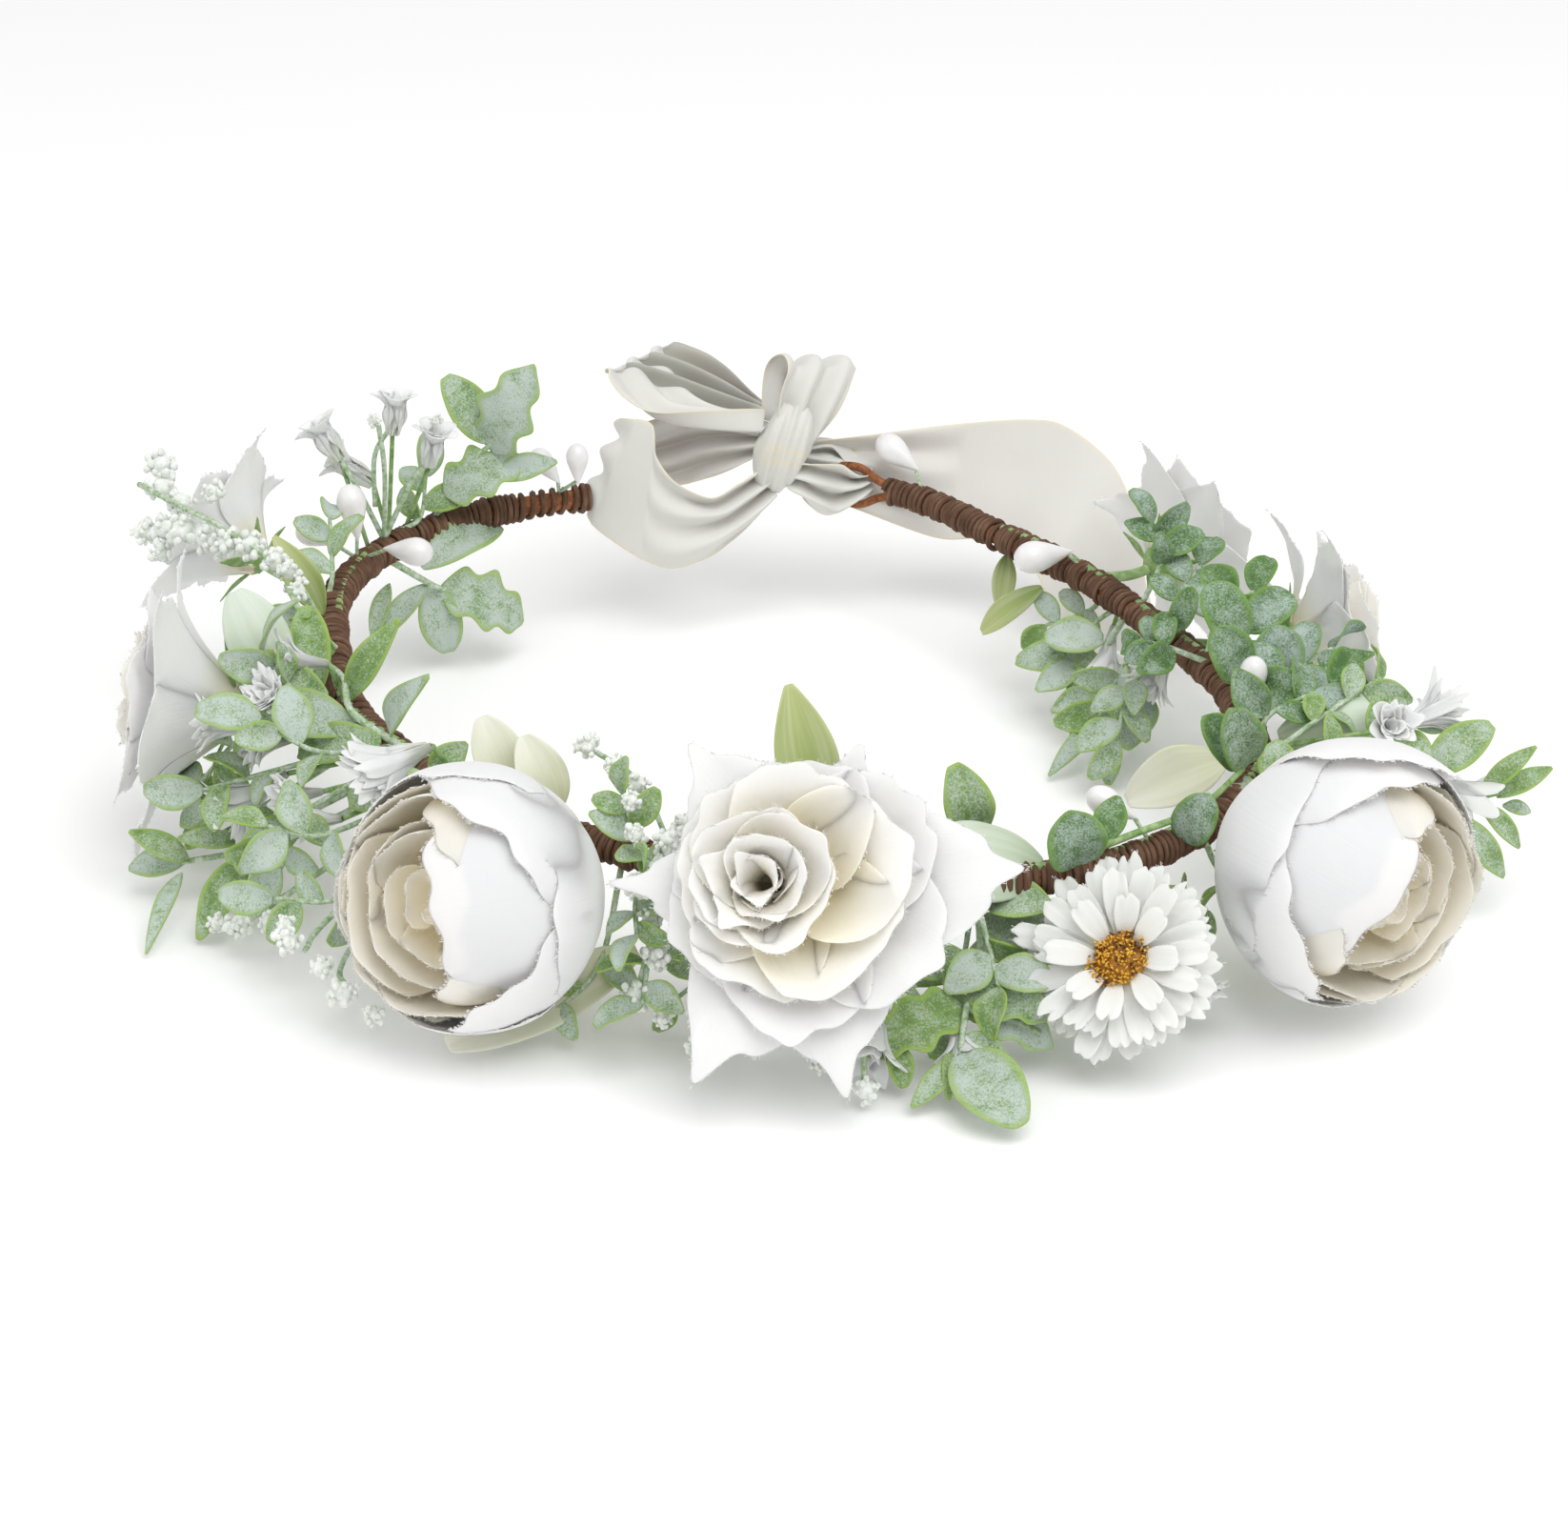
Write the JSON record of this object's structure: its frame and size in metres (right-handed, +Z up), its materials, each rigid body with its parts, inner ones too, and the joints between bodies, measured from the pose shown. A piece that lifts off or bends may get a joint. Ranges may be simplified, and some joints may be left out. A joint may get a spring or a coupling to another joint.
{
  "type": "flower crown",
  "caption": "Hair crown of fabric blooms, frosted leaf sprays and small white pips on a twine-bound wire ring, open at the back and tied there with a cream ribbon bow.",
  "frame": {"origin": "middle of the head opening, on the level of the table that the crown lies on", "axes": "+X to the right as seen from the front of the crown, along its longest extent; +Y towards the bow at the back; +Z up, out of the head opening"},
  "size_m": [0.2667, 0.2268, 0.0654],
  "materials": {
    "twine": "dark brown paper twine wound closely round, rough and matte",
    "bare_wire": "orange-brown paper-covered florist wire, matte",
    "white_petal": "white silk-type petal fabric with fine pleats and thready cut edges, matte",
    "cream_petal": "cream petal fabric, warmer towards the middle of the bloom, matte",
    "green_stem": "green moulded calyx on a plastic-covered wire",
    "frosted_leaf": "grey-green moulded leaf dusted with white powder, bright yellow-green at the edges",
    "round_leaf": "mid green round leaf, partly dusted with white powder",
    "white_pip": "glossy white pip",
    "white_filler": "powdery white filler flower on a green stem",
    "daisy_disc": "golden and dark brown cut threads",
    "ribbon": "cream woven ribbon with a soft matte sheen"
  },
  "bodies": {
    "ring": {"frame_wire": "bare_wire", "twine_wrap_1": "twine", "twine_wrap_2": "twine", "twine_wrap_3": "twine", "twine_wrap_4": "twine", "twine_wrap_5": "twine", "twine_wrap_6": "twine", "twine_wrap_7": "twine", "leaf_spray_front": "frosted_leaf", "leaf_spray_lower_left": "frosted_leaf", "leaf_spray_left": "frosted_leaf", "leaf_spray_back_left_upper": "frosted_leaf", "leaf_spray_back_left_lower": "frosted_leaf", "leaf_spray_inside_right": "frosted_leaf", "leaf_spray_right": "frosted_leaf", "round_leaf_sprig_right": "round_leaf", "round_leaf_sprig_front_right": "round_leaf", "pip_pair_left": "white_pip", "pip_left_inner": "white_pip", "pip_pair_back_left": "white_pip", "pip_back_right": "white_pip", "pip_right": "white_pip", "pip_front_right": "white_pip", "pip_back": "white_pip", "gypsophila_back_left": "white_filler", "bell_sprig_back_left": "white_filler", "gypsophila_front_left": "white_filler", "gypsophila_front_low": "white_filler", "gypsophila_lower_left": "white_filler", "trumpet_flower_left": "white_filler", "fringe_flower_left": "white_filler", "fringe_flower_low_right": "white_filler", "ribbon_bow": "ribbon", "ribbon_eye_loop": "ribbon", "ribbon_hitch": "ribbon", "ribbon_tail": "ribbon"},
    "rose_front": {"rose_front_outer_petals": "white_petal", "rose_front_inner_petals": "cream_petal", "rose_front_stem": "green_stem"},
    "ranunculus_left": {"ranunculus_left_outer_petals": "white_petal", "ranunculus_left_inner_petals": "cream_petal", "ranunculus_left_stem": "green_stem"},
    "ranunculus_right": {"ranunculus_right_outer_petals": "white_petal", "ranunculus_right_inner_petals": "cream_petal", "ranunculus_right_stem": "green_stem"},
    "rose_left": {"rose_left_outer_petals": "white_petal", "rose_left_inner_petals": "cream_petal", "rose_left_stem": "green_stem"},
    "rose_back_left": {"rose_back_left_outer_petals": "white_petal", "rose_back_left_inner_petals": "cream_petal", "rose_back_left_stem": "green_stem"},
    "rose_back_right": {"rose_back_right_outer_petals": "white_petal", "rose_back_right_inner_petals": "cream_petal", "rose_back_right_stem": "green_stem"},
    "rose_right": {"rose_right_outer_petals": "white_petal", "rose_right_inner_petals": "cream_petal", "rose_right_stem": "green_stem"},
    "daisy": {"daisy_petals": "white_petal", "daisy_disc": "daisy_disc", "daisy_stem": "green_stem"}
  },
  "joints": [
    {"name": "rose_front_bend", "type": "hinge", "parent": "ring", "child": "rose_front", "pos_m": [0.00756, -0.0864, 0.028], "axis": [-0.9962, -0.0872, 0], "range_deg": [-8, 15]},
    {"name": "ranunculus_left_bend", "type": "hinge", "parent": "ring", "child": "ranunculus_left", "pos_m": [-0.0363, -0.06827, 0.028], "axis": [-0.8829, 0.4695, 0], "range_deg": [-8, 15]},
    {"name": "ranunculus_right_bend", "type": "hinge", "parent": "ring", "child": "ranunculus_right", "pos_m": [0.08499, -0.06175, 0.028], "axis": [-0.5878, -0.809, 0], "range_deg": [-8, 15]},
    {"name": "rose_left_bend", "type": "hinge", "parent": "ring", "child": "rose_left", "pos_m": [-0.08075, -0.01279, 0.028], "axis": [-0.1564, 0.9877, 0], "range_deg": [-5, 15]},
    {"name": "rose_back_left_bend", "type": "hinge", "parent": "ring", "child": "rose_back_left", "pos_m": [-0.08666, 0.03678, 0.02891], "axis": [0.3907, 0.9205, 0], "range_deg": [-8, 15]},
    {"name": "rose_back_right_bend", "type": "hinge", "parent": "ring", "child": "rose_back_right", "pos_m": [0.06911, 0.04488, 0.028], "axis": [0.5446, -0.8387, 0], "range_deg": [-8, 15]},
    {"name": "rose_right_bend", "type": "hinge", "parent": "ring", "child": "rose_right", "pos_m": [0.08476, 0.01342, 0.028], "axis": [0.1564, -0.9877, 0], "range_deg": [-8, 15]},
    {"name": "daisy_bend", "type": "hinge", "parent": "ring", "child": "daisy", "pos_m": [0.05454, -0.08399, 0.02709], "axis": [-0.8387, -0.5446, 0], "range_deg": [-5, 15]}
  ]
}
